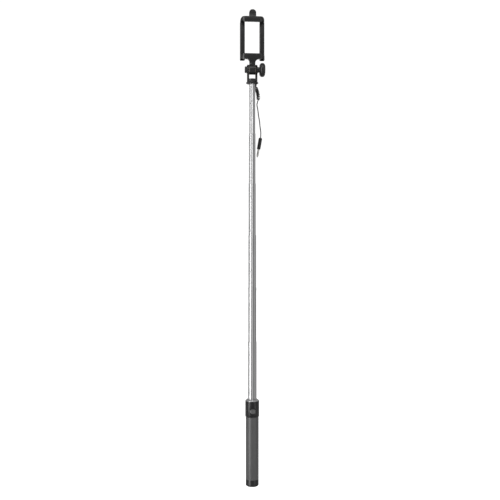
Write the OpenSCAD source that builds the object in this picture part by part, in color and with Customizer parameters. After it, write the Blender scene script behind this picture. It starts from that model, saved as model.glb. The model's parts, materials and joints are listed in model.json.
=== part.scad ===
// Telescopic selfie stick with a wired shutter button and a sprung phone clamp.
// Millimetres. +Z runs up the stick, and the origin is the centre of the end cap's bottom face.
// The shutter button faces -Y, the thumb knob is at +X, and the tubes are drawn fully out.

/* [Handle] */
// Radius of the hand grip
grip_r = 11.35; // [11.2:0.05:11.6]
// Height of the black end cap below the grip
end_cap_h = 11.9; // [9.9:0.1:13]
// Height of the grip's upper edge above the end cap's bottom face
grip_top = 121.5; // [118:0.1:130]
// Radius of the collar that holds the shutter button
collar_r = 12.2; // [12:0.05:12.3]
// Height of the collar
collar_h = 27.8; // [27:0.2:34]
// Height of the silver trim ring on the collar
trim_ring_h = 3; // [2.4:0.2:4]

/* [Shutter button] */
// Width of the oval button
button_w = 10; // [9:0.2:10.6]
// Height of the oval button
button_h = 8.2; // [7.4:0.2:8.2]
// How far the button stands out of the collar
button_proud = 0.95; // [0.6:0.05:1.4]

/* [Telescopic tubes] */
// Length of the lowest tube that shows when the stick is fully out
tube_1_shown = 100.1; // [90:0.1:110]
// Length of the second tube that shows
tube_2_shown = 94.8; // [85:0.1:105]
// Length of the third tube that shows
tube_3_shown = 92.1; // [82:0.1:102]
// Length of the fourth tube that shows
tube_4_shown = 90.5; // [80:0.1:100]
// Length of the fifth tube that shows
tube_5_shown = 87.6; // [78:0.1:98]
// Length of the top tube that shows
tube_6_shown = 86.3; // [76:0.1:96]
// Outer radius of the widest tube
first_tube_r = 7.75; // [7.6:0.01:7.75]
// How much smaller in radius each tube is than the one below it
tube_step = 0.5; // [0.47:0.01:0.5]
// Wall thickness of every tube
tube_wall = 0.3; // [0.28:0.01:0.32]
// Number of flutes round every tube
flutes = 10; // [6:1:12]
// Depth of a flute
flute_depth = 0.35; // [0.2:0.05:0.4]
// Length of each tube that still shows when the stick is closed
rim_left = 5; // [4:0.5:8]

/* [Fork] */
// Radius of the fork below the clamp
fork_r = 9.2; // [9.1:0.1:10]
// Width of the slot between the fork's two ears
fork_slot = 11.6; // [11.4:0.1:11.8]
// Radius of the flared skirt under the fork
skirt_r = 10.9; // [10.7:0.05:11.2]
// Height of the pivot above the fork's lower end
pivot_h = 25.8; // [25:0.2:28]

/* [Clamp] */
// Overall width of the lower jaw
jaw_w = 42.8; // [42.6:0.1:46]
// Thickness of the lower jaw
jaw_h = 7.6; // [7:0.2:9]
// Height of the phone space between the jaws when the clamp is closed
phone_gap = 57.7; // [52:0.1:64]
// How far the upper jaw pulls up against its springs
jaw_travel = 30; // [20:1:30]
// Width of a side rail
rail_w = 8.2; // [8:0.1:8.2]
// Height of the pull tab on the upper jaw
tab_h = 12.5; // [10:0.1:16]

/* [Thumb knob] */
// Radius of the thumb knob
knob_r = 12; // [10:0.1:12.2]
// Thickness of the thumb knob
knob_w = 9.5; // [9:0.5:13]
// Number of finger grooves round the knob
knob_grooves = 18; // [12:1:24]

/* [Hidden] */
$fn = 96;
fit = 0.05;
cut = 0.01;

// Handle
core_r = grip_r - 1.45;
collar_top = grip_top + collar_h;
ring_top = collar_top + trim_ring_h;
core_bore_r = first_tube_r + 0.2;
core_bottom = end_cap_h;
core_top = grip_top + 5.4;
bush_r = 8.6;
bush_top = collar_top + 1;
bush_mouth = bush_top - 8.4;
spigot_top = end_cap_h + 5;
anchor_top = spigot_top + 3;

// Shutter button and its switch
button_z = grip_top + 10.8;
pocket_r = 10.6;
pocket_half_w = 5.7;
board_bottom = core_top + 1;
pocket_top = button_z + 12.4;
board_y = [-9.15, -8.65];
lead_y = -9.05;
lead_z = core_bottom + 2.5;
button_back = -9.95;

// Tubes, counted from 1 at the collar to tube_count at the fork
tube_shown = [tube_1_shown, tube_2_shown, tube_3_shown, tube_4_shown, tube_5_shown, tube_6_shown];
tube_count = len(tube_shown);
flute_centre = first_tube_r + 1.65;
bell_out = 0.12;
bell_len = 18;
lip_h = 1.5;
foot_h = 2.5;
coil_r = 3;
socket_depth = 5.6;

function sum_to(v, n) = n <= 0 ? 0 : v[n - 1] + sum_to(v, n - 1);
function tube_r(i) = first_tube_r - (i - 1) * tube_step;
function bore_r(i) = tube_r(i) - tube_wall;
function tube_top(i) = ring_top + sum_to(tube_shown, i);
function mouth_under(i) = i == 0 ? bush_mouth : tube_top(i) - lip_h;
function tube_bottom(i) = mouth_under(i - 1) - 0.5 - bell_len;

// Fork
fork_z = tube_top(tube_count);
tube_end = fork_z + socket_depth;
floor_z = fork_z + 9;
pivot_z = fork_z + pivot_h;
ear_r = 8.6;
boss_r = 6.2;
boss_x = fork_r + 0.3;
bolt_r = 3;
bolt_bore_r = 3.08;
barrel_r = 8.4;
barrel_w = 10.4;
exit_x = 6.4;
exit_y = 6.9;
gland_drop = 3;
gland_seat = 2.6;
inner_lead_z = tube_end + 1.2;
pin_z = fork_z + 4;
pin_r = 0.8;
pin_end = 8.4;

// Clamp
jaw_z = pivot_z + 17;
jaw_top = jaw_z + jaw_h;
lobe_in = 13.1;
jaw_front = -12.5;
front_round = 9.5;
jaw_back = 6;
bar_back = -5;
lip_back = -10.9;
lip_h_low = 1.6;
lip_h_up = 1.4;
neck_w = 10;
neck_fillet = 5.6;
rail_front = -3;
rail_out = lobe_in + rail_w;
rail_x = lobe_in + rail_w / 2;
rod_y = 1.5;
rod_r = 1.5;
rod_bore_r = 1.58;
spring_r = 3;
upper_z = jaw_top + 1 + phone_gap;
upper_h = 7.5;
upper_w = jaw_w - 0.9;
upper_edge = 4.8;
rail_top = upper_z - 0.3;
shoulder_z = rail_top - 7.8;
cover_h = 1.5;
clip_z = jaw_z + 4;
clip_h = 1.2;
pad_h = 1;
tab_r = 6.1;

// Lead: the curly part, then the thin part, then the plug. Points are measured from the fork's lower end.
cord_r = 0.9;
curl_r = 3.5;
curl_route = [
    [6.4, 6.9, -3], [8.4, 8.4, -7], [10.2, 9.6, -12], [11.6, 10.6, -18], [12, 11.2, -24.5]
];
tail_route = [
    [11.6, 11.2, -24], [10.5, 11.2, -28.5], [9.5, 11.2, -33.5], [10.8, 11.2, -41], [12.3, 11.2, -52.5],
    [14, 11.2, -62.5], [14.9, 11.2, -71.5], [16.2, 11.2, -81.5], [16.2, 11.2, -87.5], [15.8, 11.2, -92]
];
plug_turn = 189.8;
plug_len = 20.5;
plug_r = 3.15;
jack_r = 1.75;
jack_len = 14.5;
jack_ring_z = [5.2, 7.7, 10.2];
jack_ring_h = 0.6;

// ---- Shared shapes ----

// Outline of a fluted tube of radius r. All flutes share their centres, so nested tubes stay parallel.
module fluted(r) {
    difference() {
        circle(r);
        for (k = [0 : flutes - 1])
            rotate(k * 360 / flutes)
                translate([flute_centre, 0])
                    circle(flute_centre - r + flute_depth);
    }
}

module fluted_rod(r, z0, z1) {
    translate([0, 0, z0])
        linear_extrude(z1 - z0)
            fluted(r);
}

module rod_z(r, z0, z1) {
    translate([0, 0, z0])
        cylinder(r = r, h = z1 - z0);
}

module rod_x(r, x0, x1) {
    translate([x0, 0, 0])
        rotate([0, 90, 0])
            cylinder(r = r, h = x1 - x0);
}

module rod_y(r, y0, y1) {
    translate([0, y0, 0])
        rotate([-90, 0, 0])
            cylinder(r = r, h = y1 - y0);
}

module block(x0, x1, y0, y1, z0, z1) {
    translate([x0, y0, z0])
        cube([x1 - x0, y1 - y0, z1 - z0]);
}

// Rectangle with round corners
module round_rect(x0, x1, y0, y1, r) {
    translate([x0 + r, y0])
        square([x1 - x0 - 2 * r, y1 - y0]);
    translate([x0, y0 + r])
        square([x1 - x0, y1 - y0 - 2 * r]);
    for (x = [x0 + r, x1 - r], y = [y0 + r, y1 - r])
        translate([x, y])
            circle(r);
}

module round_block(x0, x1, y0, y1, z0, z1, r) {
    translate([0, 0, z0])
        linear_extrude(z1 - z0)
            round_rect(x0, x1, y0, y1, r);
}

// Oval of four arcs, w wide and h high. The end arcs stand out by a hair, so that all four cross cleanly.
module oval(w, h) {
    hair = 0.02;
    end_r = 0.415 * h;
    x = w / 2 - end_r;
    y = h / 2 - end_r;
    offset_y = (x * x - y * y) / (2 * y);
    long_r = h / 2 + offset_y;
    intersection() {
        translate([0, -offset_y])
            circle(long_r);
        translate([0, offset_y])
            circle(long_r);
        square([2 * x * long_r / (long_r - end_r), h + 1], center = true);
    }
    for (side = [-1, 1])
        translate([side * x, 0])
            circle(end_r + hair);
}

// Oval prism along Y, centred on the shutter button
module oval_y(w, h, y0, y1) {
    translate([0, y1, button_z])
        rotate([90, 0, 0])
            linear_extrude(y1 - y0)
                oval(w, h);
}

// Both sides of the clamp
module both_sides() {
    children();
    mirror([1, 0, 0])
        children();
}

function unit(v) = v / norm(v);
function bend(a, b, c, d, t) =
    0.5 * (2 * b + (c - a) * t + (2 * a - 5 * b + 4 * c - d) * t * t + (3 * b - a - 3 * c + d) * t * t * t);
function smooth_route(p, n) = concat(
    [for (i = [0 : len(p) - 2], j = [0 : n - 1])
        bend(p[max(i - 1, 0)], p[i], p[i + 1], p[min(i + 2, len(p) - 1)], j / n)],
    [p[len(p) - 1]]
);

// Round tube of radius r along the points p, with flat ends
module swept_tube(p, r, sides) {
    last = len(p) - 1;
    points = [
        for (i = [0 : last])
            let (along = unit(p[min(i + 1, last)] - p[max(i - 1, 0)]))
            let (side = unit(cross(along, [0, 1, 0])))
            let (other = cross(along, side))
            for (k = [0 : sides - 1])
                p[i] + r * (cos(k * 360 / sides) * side + sin(k * 360 / sides) * other)
    ];
    walls = [
        for (i = [0 : last - 1], k = [0 : sides - 1])
            let (n = (k + 1) % sides)
            [i * sides + k, (i + 1) * sides + k, (i + 1) * sides + n, i * sides + n]
    ];
    start_cap = [for (k = [0 : sides - 1]) k];
    end_cap_face = [for (k = [sides - 1 : -1 : 0]) last * sides + k];
    polyhedron(points, concat(walls, [start_cap, end_cap_face]), convexity = 6);
}

// ---- Handle ----

module end_cap() {
    edge = 3;
    color("#1c1c1c")
        difference() {
            union() {
                rotate_extrude() {
                    square([grip_r - edge, end_cap_h]);
                    translate([0, edge])
                        square([grip_r, end_cap_h - edge]);
                    intersection() {
                        translate([grip_r - edge, edge])
                            circle(edge);
                        square([grip_r, end_cap_h]);
                    }
                }
                rod_z(core_bore_r - 0.03, end_cap_h, spigot_top);
            }
            rod_z(0.8, lead_z, spigot_top + cut);
            translate([0, 0, lead_z])
                rod_y(0.8, -grip_r + 1, 0);
            translate([0, 0, lead_z])
                sphere(0.8);
        }
}

module cable_anchor() {
    color("#3a3a3a")
        difference() {
            rod_z(5, spigot_top, anchor_top);
            rod_z(0.8, spigot_top - cut, anchor_top + cut);
        }
}

module handle_core() {
    color("#9a9a9a")
        difference() {
            rod_z(core_r, core_bottom, core_top);
            rod_z(core_bore_r, core_bottom - cut, core_top + cut);
            block(-0.8, 0.8, -core_r - 1, lead_y + 0.8, core_bottom + 1.5, core_top + cut);
            translate([0, 0, lead_z])
                rod_y(0.8, -core_r - 1, 0);
        }
}

module grip_sleeve() {
    color("#6b6b6b")
        difference() {
            rod_z(grip_r, end_cap_h, grip_top);
            rod_z(core_r, end_cap_h - cut, grip_top + cut);
        }
}

module collar_housing() {
    chamfer = 1.1;
    color("#202020")
        difference() {
            translate([0, 0, grip_top])
                rotate_extrude()
                    polygon([
                        [0, 0], [collar_r - 0.7, 0], [collar_r, chamfer], [collar_r, collar_h], [0, collar_h]
                    ]);
            rod_z(core_r, grip_top - cut, core_top);
            rod_z(bush_r, core_top - cut, collar_top + cut);
            intersection() {
                rod_z(pocket_r, core_top - cut, pocket_top);
                block(-pocket_half_w, pocket_half_w, -pocket_r - 1, 0, core_top - cut, pocket_top);
            }
            oval_y(button_w + 0.4, button_h + 0.4, -collar_r - 1, -8.9);
        }
}

module guide_bush() {
    color("#dcdcd6")
        difference() {
            rod_z(bush_r, core_top, bush_top);
            fluted_rod(bore_r(0), core_top - cut, bush_mouth);
            fluted_rod(first_tube_r + fit, bush_mouth - cut, bush_top + cut);
        }
}

module trim_ring() {
    color("#c9c9c9")
        translate([0, 0, collar_top])
            difference() {
                rotate_extrude()
                    polygon([
                        [0, 0], [collar_r, 0], [collar_r, 0.6], [9, trim_ring_h], [0, trim_ring_h]
                    ]);
                rod_z(bush_r, -cut, bush_top - collar_top);
                rod_z(first_tube_r + 0.4, 0, trim_ring_h + cut);
            }
}

// ---- Shutter button ----

module shutter_button() {
    tab_half = 2;
    tab_z = button_h / 2 + 0.75;
    color("#9b9b9b")
        union() {
            difference() {
                intersection() {
                    oval_y(button_w, button_h, -collar_r - 2, -8);
                    rod_z(collar_r + button_proud, button_z - button_h, button_z + button_h);
                }
                block(-button_w, button_w, button_back, 0, button_z - button_h, button_z + button_h);
                translate([0, -collar_r - button_proud - 6.4, button_z])
                    sphere(7.1);
            }
            intersection() {
                block(-tab_half, tab_half, -pocket_r, -8, button_z - tab_z, button_z + tab_z);
                difference() {
                    rod_z(pocket_r - 0.08, button_z - button_h, button_z + button_h);
                    rod_z(pocket_r - 0.5, button_z - button_h - cut, button_z + button_h + cut);
                }
            }
        }
}

module switch_board() {
    color("#2e5b3a")
        block(-3.2, 3.2, board_y[0], board_y[1], board_bottom, pocket_top - 1);
}

module tact_switch() {
    color("#b8b8b8")
        union() {
            block(-2.2, 2.2, board_y[0] - 0.25, board_y[0], button_z - 2.2, button_z + 2.2);
            translate([0, 0, button_z])
                rod_y(1, board_y[0] - 0.33, board_y[0]);
        }
}

module switch_lead() {
    r = 0.4;
    color("#303030")
        union() {
            translate([0, lead_y, 0])
                rod_z(r, lead_z, board_bottom);
            translate([0, lead_y, lead_z])
                sphere(r);
            translate([0, 0, lead_z])
                rod_y(r, lead_y, 0);
            translate([0, 0, lead_z])
                sphere(r);
            rod_z(r, lead_z, anchor_top);
        }
}

// ---- Telescopic tubes ----

module tube(i) {
    top = i < tube_count ? tube_top(i) : tube_end;
    bottom = tube_bottom(i);
    lip = tube_r(i + 1) + fit;
    color("#c4c4c6")
        difference() {
            union() {
                fluted_rod(tube_r(i), bottom, top);
                fluted_rod(tube_r(i) + bell_out, bottom, bottom + bell_len);
            }
            if (i < tube_count) {
                fluted_rod(bore_r(i), bottom - cut, top - lip_h);
                fluted_rod(lip, top - lip_h - cut, top + cut);
            } else {
                fluted_rod(bore_r(i), bottom - cut, top + cut);
                translate([0, 0, pin_z])
                    rod_x(pin_r, -tube_r(i) - 1, tube_r(i) + 1);
            }
        }
}

module foot_bush(i) {
    bottom = tube_bottom(i);
    color("#e2e2dc")
        difference() {
            union() {
                fluted_rod(tube_r(i) + bell_out, bottom - foot_h, bottom);
                fluted_rod(bore_r(i), bottom, bottom + foot_h);
            }
            rod_z(coil_r + 0.4, bottom - foot_h - cut, bottom + foot_h + cut);
        }
}

// Coiled cable inside tube i, with 0 for the handle. Each stretch ends just under the next foot bush.
module inner_cable(i) {
    low = i == 0 ? anchor_top : tube_bottom(i) - foot_h;
    color("#2a2a2a")
        if (i < tube_count)
            rod_z(coil_r, low, tube_bottom(i + 1) - foot_h - 0.3);
        else
            union() {
                rod_z(coil_r, low, fork_z - 14);
                rod_z(cord_r, fork_z - 14, inner_lead_z);
                translate([0, 0, inner_lead_z])
                    sphere(cord_r);
                translate([0, 0, inner_lead_z])
                    rotate([0, 0, atan2(exit_y, exit_x)])
                        rod_x(cord_r, 0, norm([exit_x, exit_y]));
                translate([exit_x, exit_y, inner_lead_z])
                    sphere(cord_r);
                translate([exit_x, exit_y, 0])
                    rod_z(cord_r, fork_z + gland_seat, inner_lead_z);
            }
}

// ---- Fork, pivot and knob ----

module fork() {
    skirt_top = 4.7;
    color("#262626")
        difference() {
            union() {
                intersection() {
                    rod_z(fork_r, fork_z + skirt_top - 1, pivot_z + ear_r);
                    translate([0, 0, pivot_z])
                        union() {
                            rod_x(ear_r, -fork_r, fork_r);
                            block(-fork_r, fork_r, -fork_r, fork_r, -pivot_h, -6);
                            block(-fork_r, fork_r, -ear_r, ear_r, -7, 0);
                        }
                }
                translate([0, 0, fork_z])
                    rotate_extrude()
                        polygon([
                            [0, 1.2], [6.6, 1.2], [6.6, gland_seat], [9, gland_seat], [skirt_r - 0.7, 1.8],
                            [skirt_r, 1.8], [skirt_r, 2.8], [fork_r, skirt_top], [0, skirt_top]
                        ]);
                translate([exit_x, exit_y, 0])
                    rod_z(2.4, fork_z + 1.5, inner_lead_z + 1.9);
                translate([0, 0, pivot_z])
                    rod_x(boss_r, -boss_x, boss_x);
            }
            block(-fork_slot / 2, fork_slot / 2, -fork_r - 1, fork_r + 1, floor_z, pivot_z + 20);
            fluted_rod(tube_r(tube_count), fork_z - cut, tube_end);
            rod_z(1.2, tube_end - cut, inner_lead_z + 1.2);
            translate([0, 0, inner_lead_z])
                rotate([0, 0, atan2(exit_y, exit_x)])
                    rod_x(1.1, 0, norm([exit_x, exit_y]));
            translate([exit_x, exit_y, 0])
                rod_z(1.2, fork_z, inner_lead_z + 1.2);
            translate([exit_x, exit_y, 0])
                rod_z(2, fork_z - cut, fork_z + gland_seat);
            translate([0, 0, pivot_z])
                rod_x(bolt_bore_r, -boss_x - 1, boss_x + 1);
            translate([0, 0, pin_z])
                rod_x(pin_r, -pin_end, pin_end);
        }
}

module tube_pins() {
    color("#8f8f8f")
        translate([0, 0, pin_z])
            both_sides()
                rod_x(pin_r, bore_r(tube_count), pin_end);
}

module hex_nut() {
    color("#3c3c3c")
        translate([0, 0, pivot_z])
            difference() {
                translate([-boss_x - 3.5, 0, 0])
                    rotate([0, 90, 0])
                        cylinder(r = 5.77, h = 2.9, $fn = 6);
                rod_x(bolt_bore_r, -boss_x - 5, -boss_x);
            }
}

module nut_washer() {
    color("#8a8a8a")
        translate([0, 0, pivot_z])
            difference() {
                rod_x(6, -boss_x - 0.6, -boss_x);
                rod_x(bolt_bore_r, -boss_x - 2, -boss_x + 1);
            }
}

module friction_washers() {
    color("#4a4a4a")
        translate([0, 0, pivot_z])
            both_sides()
                difference() {
                    rod_x(8, barrel_w / 2 + fit, fork_slot / 2);
                    rod_x(bolt_bore_r, barrel_w / 2 - 1, fork_slot / 2 + 1);
                }
}

module pivot_bolt() {
    color("#a0a0a2")
        translate([0, 0, pivot_z])
            union() {
                rod_x(bolt_r, -boss_x - 3.7, boss_x + 8);
                translate([boss_x + 5, 0, 0])
                    rotate([0, 90, 0])
                        cylinder(r = 5.2, h = 4, $fn = 6);
            }
}

module thumb_knob() {
    hub_x = boss_x + 0.95;
    inner_x = boss_x + 3.5;
    edge = 4.2;
    color("#232323")
        translate([0, 0, pivot_z])
            difference() {
                union() {
                    rod_x(4.8, hub_x, inner_x + 1);
                    translate([inner_x, 0, 0])
                        rotate([0, 90, 0])
                            rotate_extrude() {
                                square([knob_r - edge, knob_w]);
                                translate([0, edge])
                                    square([knob_r, knob_w - 2 * edge]);
                                for (z = [edge, knob_w - edge])
                                    translate([knob_r - edge, z])
                                        circle(edge);
                            }
                }
                for (k = [0 : knob_grooves - 1])
                    rotate([k * 360 / knob_grooves, 0, 0])
                        translate([0, 0, knob_r + 0.45])
                            rod_x(0.95, inner_x - 1, inner_x + knob_w + 1);
                rod_x(bolt_r, hub_x - 1, boss_x + 8);
                translate([boss_x + 5, 0, 0])
                    rotate([0, 90, 0])
                        cylinder(r = 5.2, h = 4, $fn = 6);
            }
}

module knob_washer() {
    color("#8a8a8a")
        translate([0, 0, pivot_z])
            difference() {
                rod_x(5, boss_x + fit, boss_x + 0.85);
                rod_x(bolt_bore_r, boss_x - 1, boss_x + 2);
            }
}

// ---- Phone clamp ----

// Outline, w wide, whose two corners at the low end of its second axis are rounded. Its arcs stand out by a
// hair, so that whatever it is cut with crosses them cleanly.
module rounded_end(w, low, high, r) {
    hair = 0.02;
    translate([-w / 2 - 1, low + r])
        square([w + 2, high - low - r]);
    translate([-w / 2 + r, low - 1])
        square([w - 2 * r, high - low + 1]);
    for (side = [-1, 1])
        translate([side * (w / 2 - r), low + r])
            circle(r + hair);
}

// Outline of a jaw from above: two deep lobes joined by a bar at the front, with large front corners
module jaw_outline(w) {
    intersection() {
        union() {
            both_sides()
                round_rect(lobe_in, w / 2, jaw_front, jaw_back, 3);
            translate([-lobe_in - 3, jaw_front])
                square([2 * lobe_in + 6, bar_back - jaw_front]);
        }
        rounded_end(w, jaw_front, jaw_back + 1, front_round);
    }
}

module jaw_slab(w, z0, z1) {
    translate([0, 0, z0])
        linear_extrude(z1 - z0)
            jaw_outline(w);
}

// Raised lip along the front of a jaw
module jaw_lip(w, z0, z1) {
    intersection() {
        jaw_slab(w, z0, z1);
        block(-w, w, jaw_front - 1, lip_back, z0, z1);
    }
}

// Neck that spreads into the jaw through a fillet on each side
module neck() {
    reach = neck_w / 2 + neck_fillet;
    drop = jaw_z - pivot_z - neck_fillet;
    intersection() {
        translate([0, 20, pivot_z])
            rotate([90, 0, 0])
                linear_extrude(40)
                    difference() {
                        translate([-reach, 0])
                            square([2 * reach, jaw_z - pivot_z + 3]);
                        for (side = [-1, 1]) {
                            translate([side * reach, drop])
                                circle(neck_fillet);
                            translate([side * (reach + neck_w / 2) / 2 - neck_fillet / 2, -1])
                                square([neck_fillet, drop + 1]);
                        }
                    }
        translate([-20, 0, pivot_z])
            rotate([90, 0, 90])
                linear_extrude(40)
                    polygon([
                        [-6, 0], [-6, 9], [jaw_front, 17], [jaw_front, 20], [bar_back, 20], [bar_back, 17],
                        [6, 8], [6, 0]
                    ]);
    }
}

module clamp_base() {
    color("#232323")
        difference() {
            union() {
                jaw_slab(jaw_w, jaw_z, jaw_top);
                jaw_lip(jaw_w, jaw_top - cut, jaw_top + lip_h_low);
                neck();
                translate([0, 0, pivot_z])
                    rod_x(barrel_r, -barrel_w / 2, barrel_w / 2);
            }
            translate([0, 0, pivot_z])
                rod_x(bolt_bore_r, -barrel_w, barrel_w);
            both_sides() {
                cover(0);
                translate([rail_x, rod_y, 0])
                    rod_z(spring_r, jaw_z, jaw_top + cut);
            }
        }
}

// Cover that closes the spring chamber under a lobe
module cover(gap) {
    round_block(lobe_in + 0.6 + gap, jaw_w / 2 - 0.6 - gap, jaw_front + 5.5 + gap, jaw_back - 0.7 - gap,
        jaw_z - (gap == 0 ? cut : 0), jaw_z + cover_h, 2.4);
}

module cover_right() {
    color("#b9b9b4")
        cover(0.05);
}

module cover_left() {
    mirror([1, 0, 0])
        cover_right();
}

// Hollow side rail: a spring chamber below and a close bore for the guide rod on top
module rail_right() {
    color("#262626")
        difference() {
            round_block(lobe_in, rail_out, rail_front, jaw_back, jaw_top, rail_top, 1.6);
            translate([rail_x, rod_y, 0]) {
                rod_z(spring_r, jaw_top - cut, shoulder_z);
                rod_z(rod_bore_r, shoulder_z - cut, rail_top + cut);
            }
        }
}

module rail_left() {
    mirror([1, 0, 0])
        rail_right();
}

module spring_right() {
    color("#a8a8a8")
        translate([rail_x, rod_y, 0])
            difference() {
                rod_z(spring_r - 0.3, clip_z + clip_h + 0.1, shoulder_z);
                rod_z(spring_r - 1.1, clip_z, shoulder_z + cut);
            }
}

module spring_left() {
    mirror([1, 0, 0])
        spring_right();
}

module guide_rods() {
    color("#b4b4b6")
        both_sides()
            translate([rail_x, rod_y, 0])
                rod_z(rod_r, jaw_z + cover_h + 0.9, upper_z + 5);
}

module rod_clips() {
    color("#707070")
        both_sides()
            translate([rail_x, rod_y, clip_z])
                difference() {
                    cylinder(r = spring_r - 0.3, h = clip_h);
                    translate([0, 0, -cut])
                        cylinder(r = rod_r, h = clip_h + 2 * cut);
                }
}

module upper_jaw() {
    color("#232323")
        difference() {
            union() {
                intersection() {
                    jaw_slab(upper_w, upper_z, upper_z + upper_h);
                    translate([0, 30, upper_z + upper_h])
                        rotate([90, 0, 0])
                            linear_extrude(60)
                                mirror([0, 1])
                                    rounded_end(upper_w, 0, upper_h + 1, upper_edge);
                }
                jaw_lip(upper_w, upper_z - lip_h_up, upper_z + cut);
                translate([0, -6.6, upper_z + upper_h])
                    rotate([90, 0, 0])
                        linear_extrude(4.6) {
                            translate([-tab_r, -cut])
                                square([2 * tab_r, tab_h - tab_r]);
                            translate([0, tab_h - tab_r])
                                circle(tab_r);
                        }
            }
            both_sides()
                translate([rail_x, rod_y, 0])
                    rod_z(rod_r, upper_z - cut, upper_z + 5);
        }
}

module lower_pad() {
    color("#3a3a3a")
        round_block(-16.4, 16.4, lip_back + 0.1, bar_back - 0.2, jaw_top, jaw_top + pad_h, 1.2);
}

module upper_pad() {
    color("#3a3a3a")
        round_block(-16, 16, lip_back + 0.1, bar_back - 0.2, upper_z - pad_h, upper_z, 1.2);
}

// ---- Lead ----

module lead_gland() {
    h = gland_drop + gland_seat;
    color("#1e1e1e")
        translate([exit_x, exit_y, fork_z - gland_drop])
            difference() {
                rotate_extrude()
                    polygon([[0, 0], [1.7, 0], [2, gland_drop], [2, h], [0, h]]);
                rod_z(cord_r, -cut, h + cut);
            }
}

module curly_lead() {
    color("#1e1e1e")
        translate([0, 0, fork_z])
            swept_tube(smooth_route(curl_route, 2), curl_r, 12);
}

module thin_lead() {
    color("#1e1e1e")
        translate([0, 0, fork_z])
            swept_tube(smooth_route(tail_route, 2), cord_r, 8);
}

// Plug's own frame: the origin is where the lead enters, and the plug points along +Z
module on_plug() {
    translate([0, 0, fork_z])
        translate(tail_route[len(tail_route) - 1])
            rotate([0, plug_turn, 0])
                children();
}

module plug_body() {
    color("#1c1c1c")
        on_plug()
            rotate_extrude()
                polygon([
                    [0, 0], [2.3, 0], [plug_r, 1.6], [plug_r, plug_len - 1.2], [plug_r - 0.8, plug_len],
                    [0, plug_len]
                ]);
}

module jack_pin() {
    tip = jack_len - 3.2;
    color("#c8c8c8")
        on_plug()
            translate([0, 0, plug_len])
                difference() {
                    union() {
                        cylinder(r = 2.3, h = 0.6);
                        cylinder(r = jack_r, h = tip);
                        rotate_extrude()
                            polygon([
                                [0, tip], [jack_r, tip], [1.15, tip + 0.7], [1.5, tip + 1.5], [0.4, jack_len],
                                [0, jack_len]
                            ]);
                    }
                    for (z = jack_ring_z)
                        jack_groove(z);
                }
}

module jack_groove(z) {
    translate([0, 0, z])
        difference() {
            cylinder(r = jack_r + cut, h = jack_ring_h);
            translate([0, 0, -cut])
                cylinder(r = 1.2, h = jack_ring_h + 2 * cut);
        }
}

module jack_rings() {
    color("#151515")
        on_plug()
            for (z = jack_ring_z)
                translate([0, 0, plug_len + z])
                    difference() {
                        cylinder(r = jack_r, h = jack_ring_h);
                        translate([0, 0, -cut])
                            cylinder(r = 1.2, h = jack_ring_h + 2 * cut);
                    }
}

// ---- Nodes ----

end_cap();
cable_anchor();
handle_core();
grip_sleeve();
collar_housing();
guide_bush();
trim_ring();
shutter_button();
switch_board();
tact_switch();
switch_lead();
for (i = [1 : tube_count])
    tube(i);
for (i = [1 : tube_count])
    foot_bush(i);
for (i = [0 : tube_count])
    inner_cable(i);
fork();
tube_pins();
hex_nut();
nut_washer();
friction_washers();
pivot_bolt();
thumb_knob();
knob_washer();
clamp_base();
rail_left();
rail_right();
cover_left();
cover_right();
spring_left();
spring_right();
guide_rods();
rod_clips();
upper_jaw();
lower_pad();
upper_pad();
lead_gland();
curly_lead();
thin_lead();
plug_body();
jack_pin();
jack_rings();
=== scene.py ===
import json
import math
import bpy
import bmesh
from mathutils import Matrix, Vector


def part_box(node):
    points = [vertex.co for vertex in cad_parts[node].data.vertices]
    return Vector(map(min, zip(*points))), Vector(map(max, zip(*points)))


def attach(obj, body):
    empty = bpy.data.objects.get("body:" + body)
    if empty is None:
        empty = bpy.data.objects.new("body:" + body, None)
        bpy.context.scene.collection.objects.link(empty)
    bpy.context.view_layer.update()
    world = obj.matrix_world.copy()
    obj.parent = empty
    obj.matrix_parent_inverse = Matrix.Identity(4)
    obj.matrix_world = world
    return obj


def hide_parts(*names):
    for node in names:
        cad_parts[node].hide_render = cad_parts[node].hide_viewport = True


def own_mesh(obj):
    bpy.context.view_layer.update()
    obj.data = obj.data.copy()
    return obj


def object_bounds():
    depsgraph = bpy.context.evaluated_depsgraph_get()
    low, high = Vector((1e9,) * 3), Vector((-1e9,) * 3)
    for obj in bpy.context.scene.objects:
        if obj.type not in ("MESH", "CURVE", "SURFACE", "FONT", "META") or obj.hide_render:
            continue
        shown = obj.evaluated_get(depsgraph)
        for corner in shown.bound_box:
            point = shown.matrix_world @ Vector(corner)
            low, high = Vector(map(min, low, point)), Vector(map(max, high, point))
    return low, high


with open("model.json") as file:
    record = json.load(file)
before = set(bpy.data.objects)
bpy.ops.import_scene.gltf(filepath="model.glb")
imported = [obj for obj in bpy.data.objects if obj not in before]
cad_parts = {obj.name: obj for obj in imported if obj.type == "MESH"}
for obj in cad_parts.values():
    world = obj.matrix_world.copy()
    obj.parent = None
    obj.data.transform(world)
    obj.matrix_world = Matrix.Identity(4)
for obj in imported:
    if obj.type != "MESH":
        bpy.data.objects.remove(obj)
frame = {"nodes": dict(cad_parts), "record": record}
startLow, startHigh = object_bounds()  # the model's own box, before anything is added
nodes = frame["nodes"]
mm = 0.001
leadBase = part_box("lead_gland")[0].z + 3 * mm  # the fork's lower end, where the lead's points start
print("frame loaded, box", [round(v, 4) for v in (*startLow, *startHigh)])


# small helpers

def deselectAll():
    if bpy.context.object and bpy.context.object.mode != "OBJECT":
        bpy.ops.object.mode_set(mode="OBJECT")
    bpy.ops.object.select_all(action="DESELECT")


def pick(piece):
    deselectAll()
    piece.select_set(True)
    bpy.context.view_layer.objects.active = piece


def settle(piece):
    pick(piece)  # the place goes into the mesh, so the object ends at the origin
    bpy.ops.object.transform_apply(location=True, rotation=True, scale=True)


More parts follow.
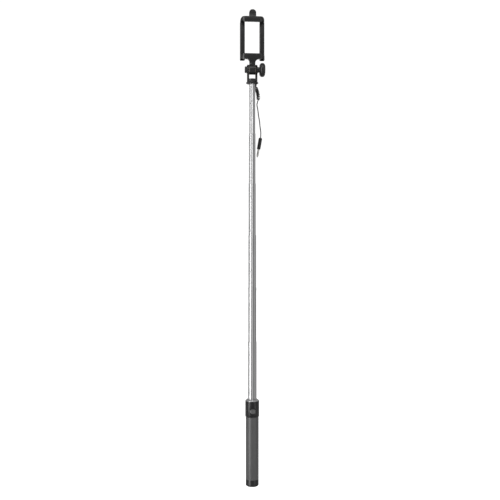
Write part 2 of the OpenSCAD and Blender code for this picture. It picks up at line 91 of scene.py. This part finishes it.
def applyModifier(piece, kind, **values):
    pick(piece)
    modifier = piece.modifiers.new(kind.lower(), kind)
    for key, value in values.items():
        setattr(modifier, key, value)
    bpy.ops.object.modifier_apply(modifier=modifier.name)


def roundEdges(piece, width, degrees, segments=3, clamp=False):
    applyModifier(piece, "BEVEL", width=width, segments=segments, limit_method="ANGLE",
                  angle_limit=math.radians(degrees), use_clamp_overlap=clamp, harden_normals=False)


def smoothByAngle(piece, degrees=32):
    pick(piece)
    bpy.ops.object.shade_smooth_by_angle(angle=math.radians(degrees))


def selectFaces(piece, test):
    bpy.ops.object.mode_set(mode="EDIT")
    bpy.ops.mesh.select_mode(type="FACE")
    bpy.ops.mesh.select_all(action="DESELECT")
    mesh = bmesh.from_edit_mesh(piece.data)
    for face in mesh.faces:
        if test(face):
            face.select_set(True)
    bmesh.update_edit_mesh(piece.data)


def wear(piece, material):
    piece.data.materials.clear()
    piece.data.materials.append(material)


def placed(piece, name, body, slot, material, *replaced):
    piece.name = name
    wear(piece, material)
    if replaced:
        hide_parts(*replaced)
    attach(piece, body)


# camera: level, a little to the left of straight on, at half the stick's height

cameraSettings = {"distance": 1.35, "azimuth": -5.0, "height": 0.4134, "aside": 0.00385, "lens": 55.4}


def makeCamera(s):
    turn = math.radians(s["azimuth"])
    back = Vector((math.sin(turn), -math.cos(turn), 0))
    right = Vector((math.cos(turn), math.sin(turn), 0))
    place = back * s["distance"] - right * s["aside"] + Vector((0, 0, s["height"]))
    data = bpy.data.cameras.new("camera")
    data.lens = s["lens"]
    data.sensor_width = 36
    data.clip_start = 0.05
    data.clip_end = 60
    camera = bpy.data.objects.new("camera", data)
    bpy.context.collection.objects.link(camera)
    camera.location = place
    camera.rotation_euler = (-back).to_track_quat("-Z", "Y").to_euler()
    bpy.context.scene.camera = camera


makeCamera(cameraSettings)
print("camera placed")


# the lead: a curly part that hangs from the fork and a thin part down to the plug

leadSettings = {
    "diameter": 1.8 * mm,
    "length": 0.215,
    "turns": 9,
    "pointsPerTurn": 16,
    "coilRadius": 2.6 * mm,
    "easeIn": 0.08,
    "easeOut": 0.05,
    "curlRoute": [(6.4, 6.9, -3), (8.4, 8.4, -7), (10.2, 9.6, -12), (11.6, 10.6, -18), (12, 11.2, -24.5)],
    "tailRoute": [
        (11.6, 11.2, -24), (10.5, 11.2, -28.5), (9.5, 11.2, -33.5), (10.8, 11.2, -41), (12.3, 11.2, -52.5),
        (14, 11.2, -62.5), (14.9, 11.2, -71.5), (16.2, 11.2, -81.5), (16.2, 11.2, -87.5), (15.8, 11.2, -92),
    ],
}


def routePoint(route, t):
    spot = min(t, 1) * (len(route) - 1)
    i = min(int(spot), len(route) - 2)
    u = spot - i
    a, b, c, d = (Vector(route[max(0, min(k, len(route) - 1))]) for k in (i - 1, i, i + 1, i + 2))
    bend = (2 * a - 5 * b + 4 * c - d) * u * u
    twist = (3 * b - a - 3 * c + d) * u ** 3
    return 0.5 * (2 * b + (c - a) * u + bend + twist)


def ramp(t, low, high):
    u = max(0.0, min(1.0, (t - low) / (high - low)))
    return u * u * (3 - 2 * u)


def opening(t, s):
    return ramp(t, 0, s["easeIn"]) * (1 - ramp(t, 1 - s["easeOut"], 1))


def leadPoints(s):
    points = []
    curl = s["curlRoute"]
    steps = s["turns"] * s["pointsPerTurn"]
    whole = sum(opening(i / steps, s) for i in range(steps + 1))
    turned = 0
    for i in range(steps + 1):
        t = i / steps
        centre = routePoint(curl, t)
        along = (routePoint(curl, min(t + 0.01, 1)) - routePoint(curl, max(t - 0.01, 0))).normalized()
        side = along.cross(Vector((0, 1, 0))).normalized()
        other = along.cross(side)
        turned += opening(t, s)
        angle = 2 * math.pi * s["turns"] * turned / whole
        reach = s["coilRadius"] / mm * opening(t, s)
        points.append(centre + reach * (math.cos(angle) * side + math.sin(angle) * other))
    tail = s["tailRoute"]
    tailSteps = 3 * (len(tail) - 1)
    points += [routePoint(tail, i / tailSteps) for i in range(2, tailSteps + 1)]
    return [Vector((p.x * mm, p.y * mm, leadBase + p.z * mm)) for p in points]


def makeLead(s):
    points = leadPoints(s)
    curve = bpy.data.curves.new("lead", "CURVE")
    curve.dimensions = "3D"
    curve.bevel_depth = 1  # scaled by each point's radius, which also sets the curve's box
    curve.bevel_resolution = 4
    curve.resolution_u = 3
    curve.use_fill_caps = True
    spline = curve.splines.new("BEZIER")
    spline.bezier_points.add(len(points) - 1)
    for knot, point in zip(spline.bezier_points, points):
        knot.co = point
        knot.handle_left_type = knot.handle_right_type = "AUTO"
        knot.radius = s["diameter"] / 2
    lead = bpy.data.objects.new("lead", curve)
    bpy.context.collection.objects.link(lead)
    return lead


lead = makeLead(leadSettings)
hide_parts("curly_lead", "thin_lead")
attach(lead, "stage_6")
print("lead made")


# shared effects for the finishes

def newGroup(name, inputs, outputs):
    group = bpy.data.node_groups.new(name, "ShaderNodeTree")
    for label, kind, value in inputs:
        socket = group.interface.new_socket(name=label, in_out="INPUT", socket_type=kind)
        if value is not None:
            socket.default_value = value
    for label, kind in outputs:
        group.interface.new_socket(name=label, in_out="OUTPUT", socket_type=kind)
    return group, group.nodes.new("NodeGroupInput"), group.nodes.new("NodeGroupOutput")


def addNode(tree, kind, **values):
    node = tree.nodes.new(kind)
    for key, value in values.items():
        if key in node.inputs:
            node.inputs[key].default_value = value
        else:
            setattr(node, key, value)
    return node


def mathNode(tree, operation, *values, clamp=False):
    node = tree.nodes.new("ShaderNodeMath")
    node.operation = operation
    node.use_clamp = clamp
    for socket, value in zip(node.inputs, values):
        if isinstance(value, (int, float)):
            socket.default_value = value
        else:
            tree.links.new(value, socket)
    return node.outputs[0]


def makeGrainGroup():
    # fine moulded grain with slow changes of tone under it
    group, start, end = newGroup(
        "mouldedGrain",
        [("Vector", "NodeSocketVector", None), ("Grain Scale", "NodeSocketFloat", 2600.0),
         ("Cloud Scale", "NodeSocketFloat", 60.0), ("Cloud Amount", "NodeSocketFloat", 0.3)],
        [("Height", "NodeSocketFloat"), ("Tone", "NodeSocketFloat")],
    )
    grain = addNode(group, "ShaderNodeTexNoise", Detail=3.0, Roughness=0.6)
    pits = addNode(group, "ShaderNodeTexVoronoi", feature="SMOOTH_F1")
    cloud = addNode(group, "ShaderNodeTexNoise", Detail=4.0, Roughness=0.55)
    for node, scale in ((grain, "Grain Scale"), (pits, "Grain Scale"), (cloud, "Cloud Scale")):
        group.links.new(start.outputs["Vector"], node.inputs["Vector"])
        group.links.new(start.outputs[scale], node.inputs["Scale"])
    shallow = mathNode(group, "MULTIPLY", pits.outputs["Distance"], 0.5)
    height = mathNode(group, "ADD", grain.outputs["Fac"], shallow)
    swing = mathNode(group, "SUBTRACT", cloud.outputs["Fac"], 0.5)
    tone = mathNode(group, "MULTIPLY_ADD", swing, start.outputs["Cloud Amount"], 0.5)
    group.links.new(height, end.inputs["Height"])
    group.links.new(tone, end.inputs["Tone"])
    return group


def makeDrawnGroup():
    # long fine lines along Z, as drawing a tube leaves them
    group, start, end = newGroup(
        "drawnLines",
        [("Vector", "NodeSocketVector", None), ("Across", "NodeSocketFloat", 3500.0),
         ("Along", "NodeSocketFloat", 12.0)],
        [("Height", "NodeSocketFloat"), ("Streaks", "NodeSocketFloat")],
    )
    split = addNode(group, "ShaderNodeSeparateXYZ")
    group.links.new(start.outputs["Vector"], split.inputs[0])
    joined = addNode(group, "ShaderNodeCombineXYZ")
    for axis, scale in (("X", "Across"), ("Y", "Across"), ("Z", "Along")):
        stretched = mathNode(group, "MULTIPLY", split.outputs[axis], start.outputs[scale])
        group.links.new(stretched, joined.inputs[axis])
    fine = addNode(group, "ShaderNodeTexNoise", Scale=1.0, Detail=4.0, Roughness=0.65)
    broad = addNode(group, "ShaderNodeTexNoise", Scale=0.22, Detail=2.0, Roughness=0.5)
    group.links.new(joined.outputs[0], fine.inputs["Vector"])
    group.links.new(joined.outputs[0], broad.inputs["Vector"])
    group.links.new(fine.outputs["Fac"], end.inputs["Height"])
    group.links.new(broad.outputs["Fac"], end.inputs["Streaks"])
    return group


def makeScuffGroup():
    # sparse short scratches and specks of dust
    group, start, end = newGroup(
        "scuffs",
        [("Vector", "NodeSocketVector", None), ("Scale", "NodeSocketFloat", 90.0),
         ("Rarity", "NodeSocketFloat", 0.66)],
        [("Mask", "NodeSocketFloat")],
    )
    total = None
    for turn, stretch in ((0.4, (1.0, 9.0, 1.0)), (1.3, (1.0, 1.0, 11.0))):
        mapping = addNode(group, "ShaderNodeMapping", Rotation=(turn, turn * 0.7, turn * 1.9), Scale=stretch)
        group.links.new(start.outputs["Vector"], mapping.inputs["Vector"])
        noise = addNode(group, "ShaderNodeTexNoise", Detail=2.0, Roughness=0.4)
        group.links.new(mapping.outputs[0], noise.inputs["Vector"])
        group.links.new(start.outputs["Scale"], noise.inputs["Scale"])
        over = mathNode(group, "SUBTRACT", noise.outputs["Fac"], start.outputs["Rarity"])
        mark = mathNode(group, "MULTIPLY", over, 9.0, clamp=True)
        total = mark if total is None else mathNode(group, "MAXIMUM", total, mark)
    group.links.new(total, end.inputs["Mask"])
    return group


def makeFluteShadeGroup():
    # painted shade in the grooves round a tube: the base colour is darkened in each flute, where shade falls,
    # so the ridges between them read lighter
    group, start, end = newGroup(
        "grooves",
        [("Vector", "NodeSocketVector", None), ("Count", "NodeSocketFloat", 10.0)],
        [("Mask", "NodeSocketFloat")],
    )
    split = addNode(group, "ShaderNodeSeparateXYZ")
    group.links.new(start.outputs["Vector"], split.inputs[0])
    around = mathNode(group, "ARCTAN2", split.outputs["Y"], split.outputs["X"])
    wave = mathNode(group, "COSINE", mathNode(group, "MULTIPLY", around, start.outputs["Count"]))
    mask = mathNode(group, "MULTIPLY_ADD", wave, 0.8, 0.35, clamp=True)
    group.links.new(mask, end.inputs["Mask"])
    return group


grainGroup = makeGrainGroup()
fluteShadeGroup = makeFluteShadeGroup()
drawnGroup = makeDrawnGroup()
scuffGroup = makeScuffGroup()


def placeGroup(tree, group, vector, **values):
    node = tree.nodes.new("ShaderNodeGroup")
    node.node_tree = group
    tree.links.new(vector, node.inputs["Vector"])
    for key, value in values.items():
        node.inputs[key].default_value = value
    return node


def newMaterial(name):
    material = bpy.data.materials.new(name)
    material.use_nodes = True
    tree = material.node_tree
    shader = tree.nodes["Principled BSDF"]
    place = tree.nodes.new("ShaderNodeTexCoord").outputs["Object"]
    return material, tree, shader, place


def blendColour(tree, mask, dark, light):
    mix = tree.nodes.new("ShaderNodeMix")
    mix.data_type = "RGBA"
    tree.links.new(mask, mix.inputs["Factor"])
    mix.inputs["A"].default_value = (*dark, 1)
    mix.inputs["B"].default_value = (*light, 1)
    return mix.outputs["Result"]


def paintOver(tree, mask, base, colour):
    mix = tree.nodes.new("ShaderNodeMix")
    mix.data_type = "RGBA"
    mix.inputs["B"].default_value = (*colour, 1)
    tree.links.new(mask, mix.inputs["Factor"])
    tree.links.new(base, mix.inputs["A"])
    return mix.outputs["Result"]


def remap(tree, value, low, high):
    node = tree.nodes.new("ShaderNodeMapRange")
    tree.links.new(value, node.inputs["Value"])
    node.inputs["To Min"].default_value = low
    node.inputs["To Max"].default_value = high
    return node.outputs["Result"]


def addBump(tree, shader, height, strength, depth):
    bump = addNode(tree, "ShaderNodeBump", Strength=strength, Distance=depth)
    tree.links.new(height, bump.inputs["Height"])
    tree.links.new(bump.outputs["Normal"], shader.inputs["Normal"])


def mouldedPlastic(name, s):
    material, tree, shader, place = newMaterial(name)
    grain = placeGroup(tree, grainGroup, place, **{"Grain Scale": s["grain"], "Cloud Scale": s["cloud"],
                                                  "Cloud Amount": 1.0})
    marks = placeGroup(tree, scuffGroup, place, Scale=s["scuffScale"], Rarity=s["scuffRarity"])
    base = blendColour(tree, grain.outputs["Tone"], s["dark"], s["light"])
    tree.links.new(paintOver(tree, marks.outputs["Mask"], base, s["worn"]), shader.inputs["Base Color"])
    low, high = s["roughness"]
    even = remap(tree, grain.outputs["Tone"], low, high)
    rougher = mathNode(tree, "MULTIPLY_ADD", marks.outputs["Mask"], 0.1, even)
    tree.links.new(rougher, shader.inputs["Roughness"])
    addBump(tree, shader, grain.outputs["Height"], s["bump"], s["bumpDepth"])
    return material


def drawnSteel(name, s):
    material, tree, shader, place = newMaterial(name)
    lines = placeGroup(tree, drawnGroup, place, Across=s["across"], Along=s["along"])
    colour = blendColour(tree, lines.outputs["Streaks"], s["dark"], s["light"])
    if "flutes" in s:
        # painted shade: each flute's base colour is pulled towards the dark groove colour
        grooves = placeGroup(tree, fluteShadeGroup, place, Count=float(s["flutes"]))
        colour = paintOver(tree, grooves.outputs["Mask"], colour, s["groove"])
    tree.links.new(colour, shader.inputs["Base Color"])
    low, high = s["roughness"]
    tree.links.new(remap(tree, lines.outputs["Streaks"], low, high), shader.inputs["Roughness"])
    shader.inputs["Metallic"].default_value = 1.0
    addBump(tree, shader, lines.outputs["Height"], s["bump"], s["bumpDepth"])
    return material


finishes = {
    "blackShell": {"dark": (0.003, 0.003, 0.0032), "light": (0.006, 0.006, 0.0062),
                   "worn": (0.045, 0.045, 0.046),
                   "grain": 2600.0, "cloud": 55.0, "scuffScale": 70.0, "scuffRarity": 0.72,
                   "roughness": (0.28, 0.38), "bump": 0.22, "bumpDepth": 0.00005},
    "collarGloss": {"dark": (0.002, 0.002, 0.0022), "light": (0.005, 0.005, 0.0052),
                    "worn": (0.04, 0.04, 0.04),
                    "grain": 1500.0, "cloud": 160.0, "scuffScale": 90.0, "scuffRarity": 0.70,
                    "roughness": (0.26, 0.34), "bump": 0.15, "bumpDepth": 0.00005},
    "gripSatin": {"dark": (0.042, 0.042, 0.0425), "light": (0.056, 0.056, 0.0565), "worn": (0.12, 0.12, 0.12),
                  "grain": 3200.0, "cloud": 40.0, "scuffScale": 60.0, "scuffRarity": 0.72,
                  "roughness": (0.32, 0.40), "bump": 0.2, "bumpDepth": 0.00005},
    "corePlastic": {"dark": (0.10, 0.10, 0.10), "light": (0.14, 0.14, 0.14), "worn": (0.2, 0.2, 0.2),
                    "grain": 1800.0, "cloud": 40.0, "scuffScale": 60.0, "scuffRarity": 0.7,
                    "roughness": (0.45, 0.6), "bump": 0.2, "bumpDepth": 0.00006},
    "bushPlastic": {"dark": (0.70, 0.69, 0.64), "light": (0.80, 0.79, 0.74), "worn": (0.55, 0.54, 0.5),
                    "grain": 1500.0, "cloud": 90.0, "scuffScale": 80.0, "scuffRarity": 0.66,
                    "roughness": (0.4, 0.55), "bump": 0.15, "bumpDepth": 0.00005},
    "buttonGrey": {"dark": (0.050, 0.050, 0.050), "light": (0.070, 0.070, 0.070), "worn": (0.16, 0.16, 0.16),
                   "grain": 3000.0, "cloud": 200.0, "scuffScale": 150.0, "scuffRarity": 0.70,
                   "roughness": (0.3, 0.4), "bump": 0.15, "bumpDepth": 0.00004},
    "coverGrey": {"dark": (0.42, 0.42, 0.41), "light": (0.52, 0.52, 0.50), "worn": (0.30, 0.30, 0.29),
                  "grain": 2400.0, "cloud": 120.0, "scuffScale": 120.0, "scuffRarity": 0.68,
                  "roughness": (0.4, 0.52), "bump": 0.2, "bumpDepth": 0.00005},
    "padRubber": {"dark": (0.018, 0.018, 0.018), "light": (0.035, 0.035, 0.035), "worn": (0.09, 0.09, 0.088),
                  "grain": 1600.0, "cloud": 120.0, "scuffScale": 110.0, "scuffRarity": 0.64,
                  "roughness": (0.65, 0.8), "bump": 0.4, "bumpDepth": 0.0001},
    "cableBlack": {"dark": (0.004, 0.004, 0.004), "light": (0.009, 0.009, 0.009), "worn": (0.04, 0.04, 0.04),
                   "grain": 2200.0, "cloud": 140.0, "scuffScale": 160.0, "scuffRarity": 0.68,
                   "roughness": (0.36, 0.5), "bump": 0.25, "bumpDepth": 0.00005},
    "ringBlack": {"dark": (0.01, 0.01, 0.01), "light": (0.02, 0.02, 0.02), "worn": (0.04, 0.04, 0.04),
                  "grain": 3000.0, "cloud": 300.0, "scuffScale": 200.0, "scuffRarity": 0.7,
                  "roughness": (0.3, 0.4), "bump": 0.1, "bumpDepth": 0.00002},
    "boardGreen": {"dark": (0.01, 0.07, 0.025), "light": (0.02, 0.11, 0.04), "worn": (0.1, 0.16, 0.1),
                   "grain": 2000.0, "cloud": 200.0, "scuffScale": 150.0, "scuffRarity": 0.68,
                   "roughness": (0.25, 0.4), "bump": 0.15, "bumpDepth": 0.00004},
    "washerFibre": {"dark": (0.06, 0.05, 0.04), "light": (0.10, 0.085, 0.07), "worn": (0.16, 0.14, 0.12),
                    "grain": 1200.0, "cloud": 160.0, "scuffScale": 120.0, "scuffRarity": 0.62,
                    "roughness": (0.7, 0.85), "bump": 0.4, "bumpDepth": 0.00008},
    "nutDark": {"dark": (0.005, 0.005, 0.0055), "light": (0.010, 0.010, 0.0105), "worn": (0.08, 0.08, 0.08),
                "grain": 1400.0, "cloud": 200.0, "scuffScale": 180.0, "scuffRarity": 0.66,
                "roughness": (0.3, 0.42), "bump": 0.2, "bumpDepth": 0.00005},
}
steels = {
    "tubeSteel": {"dark": (0.68, 0.68, 0.685), "light": (0.76, 0.76, 0.765), "across": 2600.0, "along": 9.0,
                  # the groove colour is painted shade laid into the flutes
                  "flutes": 10, "groove": (0.17, 0.17, 0.172),
                  "roughness": (0.34, 0.40), "bump": 0.05, "bumpDepth": 0.00002},
    "plainSteel": {"dark": (0.42, 0.42, 0.425), "light": (0.56, 0.56, 0.565), "across": 1500.0,
                   "along": 1500.0,
                   "roughness": (0.25, 0.4), "bump": 0.1, "bumpDepth": 0.00003},
    "darkSteel": {"dark": (0.07, 0.07, 0.072), "light": (0.12, 0.12, 0.122), "across": 1500.0,
                  "along": 1500.0,
                  "roughness": (0.3, 0.45), "bump": 0.1, "bumpDepth": 0.00003},
    "ringSilver": {"dark": (0.44, 0.44, 0.445), "light": (0.56, 0.56, 0.565), "across": 600.0,
                   "along": 9000.0,
                   "roughness": (0.28, 0.36), "bump": 0.12, "bumpDepth": 0.00003},
    "jackMetal": {"dark": (0.60, 0.59, 0.56), "light": (0.74, 0.73, 0.70), "across": 900.0, "along": 900.0,
                  "roughness": (0.14, 0.24), "bump": 0.06, "bumpDepth": 0.00002},
}
made = {name: mouldedPlastic(name, s) for name, s in finishes.items()}
made.update({name: drawnSteel(name, s) for name, s in steels.items()})
print("materials made:", len(made))

wornBy = {
    "blackShell": ["end_cap", "fork", "thumb_knob", "clamp_base", "rail_left", "rail_right", "upper_jaw",
                   "lead_gland", "plug_body"],
    "collarGloss": ["collar_housing"],
    "gripSatin": ["grip_sleeve"],
    "corePlastic": ["handle_core", "cable_anchor"],
    "bushPlastic": ["guide_bush"] + [f"foot_bush_{i}" for i in range(1, 7)],
    "tubeSteel": [f"tube_{i}" for i in range(1, 7)],
    "ringSilver": ["trim_ring"],
    "buttonGrey": ["shutter_button"],
    "boardGreen": ["switch_board"],
    "plainSteel": ["tact_switch", "tube_pins", "nut_washer", "pivot_bolt", "knob_washer", "spring_left",
                   "spring_right", "guide_rods", "rod_clips"],
    "nutDark": ["hex_nut"],
    "washerFibre": ["friction_washers"],
    "padRubber": ["lower_pad", "upper_pad"],
    "coverGrey": ["cover_left", "cover_right"],
    "cableBlack": ["switch_lead"] + [f"inner_cable_{i}" for i in range(7)],
    "jackMetal": ["jack_pin"],
    "ringBlack": ["jack_rings"],
}
for finish, names in wornBy.items():
    for name in names:
        wear(nodes[name], made[finish])
lead.data.materials.append(made["cableBlack"])


# shells: copies of the moulded and turned parts with their edges rounded

shellSettings = {
    "roundedEndCap": {"node": "end_cap", "body": "handle", "finish": "blackShell", "edge": 0.25},
    "roundedGrip": {"node": "grip_sleeve", "body": "handle", "finish": "gripSatin", "edge": 0.25},
    "roundedCollar": {"node": "collar_housing", "body": "handle", "finish": "collarGloss", "edge": 0.3},
    "roundedTrimRing": {"node": "trim_ring", "body": "handle", "finish": "ringSilver", "edge": 0.2},
    "roundedButton": {"node": "shutter_button", "body": "button", "finish": "buttonGrey", "edge": 0.08},
    "roundedFork": {"node": "fork", "body": "stage_6", "finish": "blackShell", "edge": 0.45},
    "roundedNut": {"node": "hex_nut", "body": "stage_6", "finish": "nutDark", "edge": 0.3},
    "roundedNutWasher": {"node": "nut_washer", "body": "stage_6", "finish": "darkSteel", "edge": 0.12},
    "roundedKnobWasher": {"node": "knob_washer", "body": "knob_carrier", "finish": "darkSteel", "edge": 0.15},
    "roundedKnob": {"node": "thumb_knob", "body": "knob", "finish": "blackShell", "edge": 0.25,
                    "dishRadius": 6.5, "dishDepth": 0.7, "dishRound": 0.35},
    "roundedClampBase": {"node": "clamp_base", "body": "clamp", "finish": "blackShell", "edge": 0.55,
                         "sharper": 55},
    "roundedRailLeft": {"node": "rail_left", "body": "clamp", "finish": "blackShell", "edge": 0.3},
    "roundedRailRight": {"node": "rail_right", "body": "clamp", "finish": "blackShell", "edge": 0.3},
    "roundedCoverLeft": {"node": "cover_left", "body": "clamp", "finish": "coverGrey", "edge": 0.2},
    "roundedCoverRight": {"node": "cover_right", "body": "clamp", "finish": "coverGrey", "edge": 0.2},
    "roundedUpperJaw": {"node": "upper_jaw", "body": "top_jaw", "finish": "blackShell", "edge": 0.5},
}


def slotOf(node):
    return next(part["material_slot"] for part in frame["record"]["subparts"] if part["node"] == node)


def copyNode(node):
    piece = nodes[node].copy()
    piece.data = nodes[node].data.copy()
    piece.parent = None
    piece.matrix_world = nodes[node].matrix_world.copy()
    for key in list(piece.keys()):
        del piece[key]
    bpy.context.collection.objects.link(piece)
    settle(piece)
    bpy.ops.object.mode_set(mode="EDIT")
    bpy.ops.mesh.select_all(action="SELECT")
    bpy.ops.mesh.remove_doubles(threshold=0.002 * mm)
    bpy.ops.mesh.dissolve_limited(angle_limit=math.radians(1))
    bpy.ops.object.mode_set(mode="OBJECT")
    return piece


def makeDish(piece, s):
    low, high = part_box(s["node"])
    place = (high[0], (low[1] + high[1]) / 2, (low[2] + high[2]) / 2)  # middle of the knob's outer face
    deselectAll()
    bpy.ops.mesh.primitive_cylinder_add(vertices=96, radius=s["dishRadius"] * mm,
                                        depth=2 * s["dishDepth"] * mm,
                                        location=place, rotation=(0, math.pi / 2, 0))
    cutter = bpy.context.active_object
    settle(cutter)
    roundEdges(cutter, s["dishRound"] * mm, 60, clamp=True)
    applyModifier(piece, "BOOLEAN", operation="DIFFERENCE", object=cutter, solver="EXACT")
    bpy.data.objects.remove(cutter, do_unlink=True)


def makeShell(name, s):
    piece = copyNode(s["node"])
    if "dishDepth" in s:
        makeDish(piece, s)
    roundEdges(piece, s["edge"] * mm, s.get("sharper", 38))
    smoothByAngle(piece)
    placed(piece, name, s["body"], slotOf(s["node"]), made[s["finish"]], s["node"])


for name, s in shellSettings.items():
    makeShell(name, s)
print("shells rounded:", len(shellSettings))


# pads: soft strips with raised ribs across them

padSettings = {
    "lowerPadRibs": {"node": "lower_pad", "body": "clamp", "turn": 0, "ribs": 25, "rib": 0.45, "edge": 0.1},
    "upperPadRibs": {"node": "upper_pad", "body": "top_jaw", "turn": 180, "ribs": 25, "rib": 0.45,
                     "edge": 0.1},
}


def makePad(name, s):
    low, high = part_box(s["node"])
    size = high - low
    count = 2 * s["ribs"] + 1
    deselectAll()
    bpy.ops.mesh.primitive_grid_add(x_subdivisions=count, y_subdivisions=1, size=1, location=(0, 0, 0))
    pad = bpy.context.object
    pad.scale = (size.x, size.y, 1)
    settle(pad)
    step = size.x / count
    selectFaces(pad, lambda face: True)
    bpy.ops.mesh.extrude_region_move(TRANSFORM_OT_translate={"value": (0, 0, size.z - s["rib"] * mm)})
    bpy.ops.mesh.select_all(action="DESELECT")
    bpy.ops.object.mode_set(mode="OBJECT")
    top = size.z - s["rib"] * mm
    selectFaces(pad, lambda face: face.normal.z > 0.9 and face.calc_center_median().z > top / 2
                and int((face.calc_center_median().x + size.x / 2) / step) % 2 == 1)
    bpy.ops.mesh.extrude_region_move(TRANSFORM_OT_translate={"value": (0, 0, s["rib"] * mm)})
    bpy.ops.mesh.select_all(action="SELECT")
    bpy.ops.mesh.normals_make_consistent(inside=False)
    bpy.ops.object.mode_set(mode="OBJECT")
    roundEdges(pad, s["edge"] * mm, 40, segments=2, clamp=True)
    pad.rotation_euler = (0, math.radians(s["turn"]), 0)
    pad.location = ((low.x + high.x) / 2, (low.y + high.y) / 2, high.z if s["turn"] else low.z)
    settle(pad)
    smoothByAngle(pad)
    placed(pad, name, s["body"], "pad_rubber", made["padRubber"], s["node"])


for name, s in padSettings.items():
    makePad(name, s)
print("pads made")


# coils: the two clamp springs and the cable that is wound inside the handle and the tubes

coilSettings = {
    "springLeftCoil": {"node": "spring_left", "body": "clamp", "joint": "jaw_slide", "wire": 0.45,
                       "pitch": 2.2,
                       "finish": "plainSteel", "fixed": "high"},
    "springRightCoil": {"node": "spring_right", "body": "clamp", "joint": "jaw_slide", "wire": 0.45,
                        "pitch": 2.2,
                        "finish": "plainSteel", "fixed": "high"},
}
for i in range(6):
    coilSettings[f"innerCable{i}Coil"] = {
        "node": f"inner_cable_{i}", "body": f"stage_{i}" if i else "handle", "joint": f"tube_{i + 1}_slide",
        "wire": 0.9, "pitch": 2.4, "finish": "cableBlack", "fixed": "low",
    }


def makeCoil(name, s):
    low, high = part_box(s["node"])
    wire = s["wire"] * mm
    reach = (high.x - low.x) / 2 - wire
    length = high.z - low.z
    endRoom = 1.1 * wire  # keeps the wire's thickness inside the coil's height
    rise = length - 2 * endRoom
    turns = max(2, int(rise / (s["pitch"] * mm)))
    deselectAll()
    bpy.ops.mesh.primitive_circle_add(vertices=8, radius=wire, fill_type="NOTHING",
                                      location=(reach, 0, low.z + endRoom), rotation=(math.pi / 2, 0, 0))
    coil = bpy.context.object
    settle(coil)
    applyModifier(coil, "SCREW", axis="Z", angle=2 * math.pi, iterations=turns, steps=20, render_steps=20,
                  screw_offset=rise / turns)
    bpy.ops.object.mode_set(mode="EDIT")
    bpy.ops.mesh.select_all(action="SELECT")
    bpy.ops.mesh.remove_doubles(threshold=0.002 * mm)
    bpy.ops.mesh.fill_holes(sides=0)
    bpy.ops.mesh.select_all(action="SELECT")
    bpy.ops.mesh.normals_make_consistent(inside=False)
    bpy.ops.transform.translate(value=((low.x + high.x) / 2, (low.y + high.y) / 2, 0))
    bpy.ops.object.mode_set(mode="OBJECT")
    smoothByAngle(coil, 60)
    placed(coil, name, s["body"], slotOf(s["node"]), made[s["finish"]], s["node"])
    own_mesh(coil)


for name, s in coilSettings.items():
    makeCoil(name, s)
print("coils wound")


# floor, light and backdrop

stageSettings = {"floorDrop": 0.45, "floorSize": 30.0, "floorGlow": 0.9, "skyForCamera": 1.05,
                 "skyElsewhere": 0.42, "skyBehind": 0.95}
lampTarget = Vector((0, 0, 0.42))  # about the stick's middle
lamps = {
    "leftStrip": {"angle": -52, "distance": 1.3, "height": 0.45, "size": (0.55, 2.4), "power": 19},
    "rightStrip": {"angle": 41, "distance": 1.6, "height": 0.45, "size": (0.4, 2.4), "power": 4},
    "topSoft": {"angle": -10, "distance": 0.9, "height": 2.0, "size": (1.4, 1.0), "power": 10},
}


def makeLamp(name, s):
    turn = math.radians(s["angle"])
    place = Vector((math.sin(turn) * s["distance"], -math.cos(turn) * s["distance"], s["height"]))
    data = bpy.data.lights.new(name, "AREA")
    data.shape = "RECTANGLE"
    data.size, data.size_y = s["size"]
    data.energy = s["power"]
    lamp = bpy.data.objects.new(name, data)
    bpy.context.collection.objects.link(lamp)
    lamp.location = place
    lamp.rotation_euler = (place - lampTarget).to_track_quat("Z", "Y").to_euler()


def makeBehind(tree, s):
    # a bright band low behind the object, which its undersides mirror
    split = addNode(tree, "ShaderNodeSeparateXYZ")
    tree.links.new(tree.nodes.new("ShaderNodeTexCoord").outputs["Generated"], split.inputs[0])
    behind = mathNode(tree, "MULTIPLY_ADD", split.outputs["Y"], 10.0, -8.5, clamp=True)
    lower = mathNode(tree, "MULTIPLY_ADD", split.outputs["Z"], -14.0, -1.2, clamp=True)
    band = mathNode(tree, "MULTIPLY", behind, lower)
    return mathNode(tree, "MULTIPLY_ADD", band, s["skyBehind"] - s["skyElsewhere"], s["skyElsewhere"])


def makeStage(s):
    deselectAll()
    bpy.ops.mesh.primitive_plane_add(size=s["floorSize"], location=(0, 0, startLow.z - s["floorDrop"]))
    floor = bpy.context.object
    floor.name = "floor"
    material, _, shader, _ = newMaterial("floorWhite")
    shader.inputs["Base Color"].default_value = (0.85, 0.85, 0.85, 1)
    shader.inputs["Roughness"].default_value = 0.9
    shader.inputs["Emission Color"].default_value = (1, 1, 1, 1)
    shader.inputs["Emission Strength"].default_value = s["floorGlow"]
    wear(floor, material)
    floor.visible_glossy = False
    world = bpy.data.worlds.new("sky")
    bpy.context.scene.world = world
    world.use_nodes = True
    tree = world.node_tree
    background = tree.nodes["Background"]
    background.inputs["Color"].default_value = (1, 1, 1, 1)
    ray = tree.nodes.new("ShaderNodeLightPath")
    strength = tree.nodes.new("ShaderNodeMapRange")
    tree.links.new(ray.outputs["Is Camera Ray"], strength.inputs["Value"])
    tree.links.new(makeBehind(tree, s), strength.inputs["To Min"])
    strength.inputs["To Max"].default_value = s["skyForCamera"]
    tree.links.new(strength.outputs["Result"], background.inputs["Strength"])
    bpy.context.scene.view_settings.view_transform = "Standard"


makeStage(stageSettings)
for name, s in lamps.items():
    makeLamp(name, s)
print("stage and lights made")
